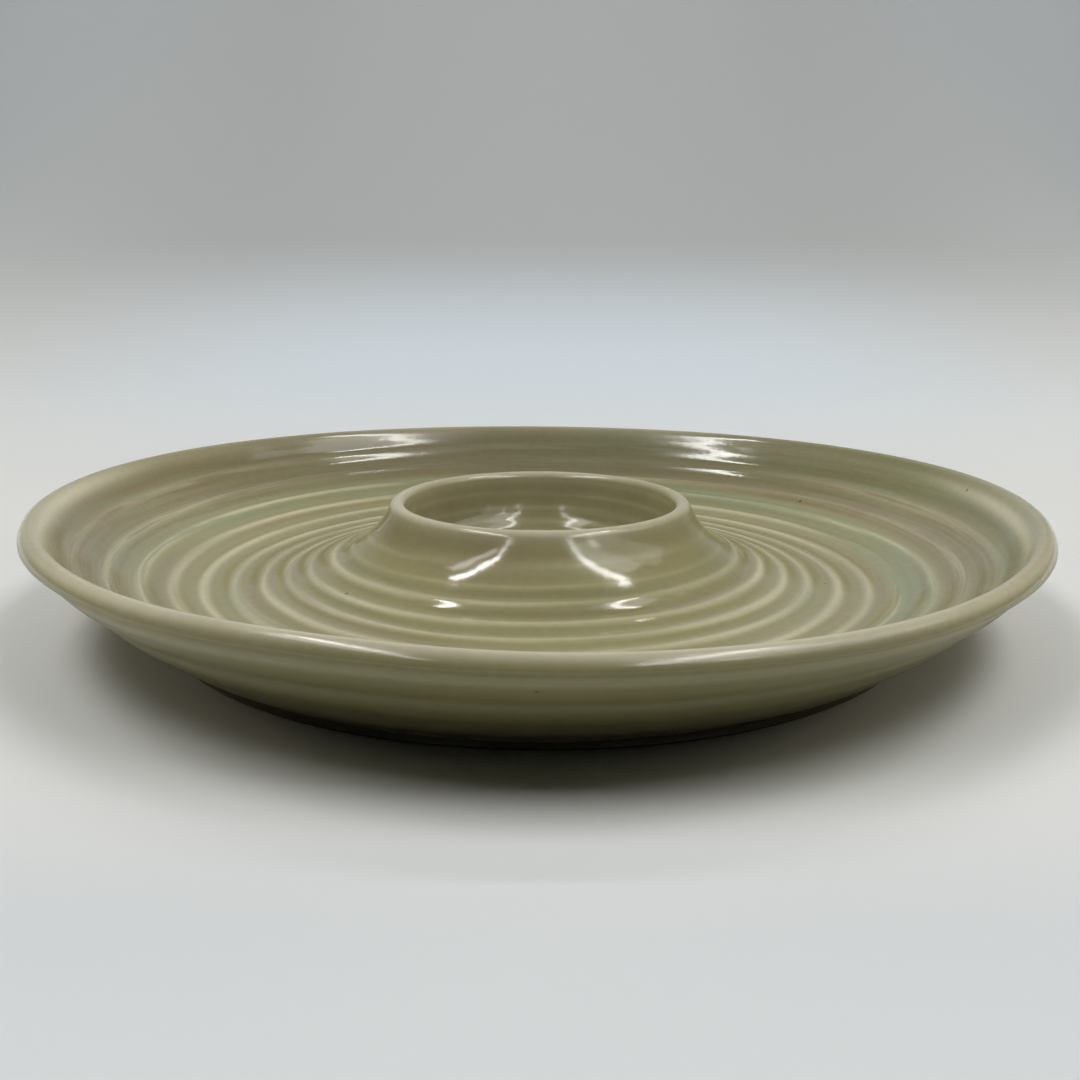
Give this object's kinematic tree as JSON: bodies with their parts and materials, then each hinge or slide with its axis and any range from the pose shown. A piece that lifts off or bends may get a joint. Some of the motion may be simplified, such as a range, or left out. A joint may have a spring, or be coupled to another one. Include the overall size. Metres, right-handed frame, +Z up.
{
  "type": "chip and dip platter",
  "caption": "Round stoneware chip and dip platter: shallow dish with a spiral of throwing ridges, a flared dip cup in its middle and a low foot ring; glossy olive celadon glaze.",
  "frame": {"origin": "centre of the foot ring on the table", "axes": "+Z up along the throwing axis, -Y towards the viewer of the picture"},
  "size_m": [0.292, 0.292, 0.0371],
  "materials": {
    "plate_glaze": "glossy olive celadon glaze",
    "cup_glaze": "glossy olive celadon glaze",
    "bare_clay": "unglazed buff stoneware, matt",
    "luting_slip": "fired luting slip, matt"
  },
  "bodies": {
    "root": {"platter": "plate_glaze", "dip_cup": "cup_glaze", "foot_ring": "bare_clay", "cup_slip_joint": "luting_slip", "foot_slip_joint": "luting_slip"}
  },
  "joints": []
}
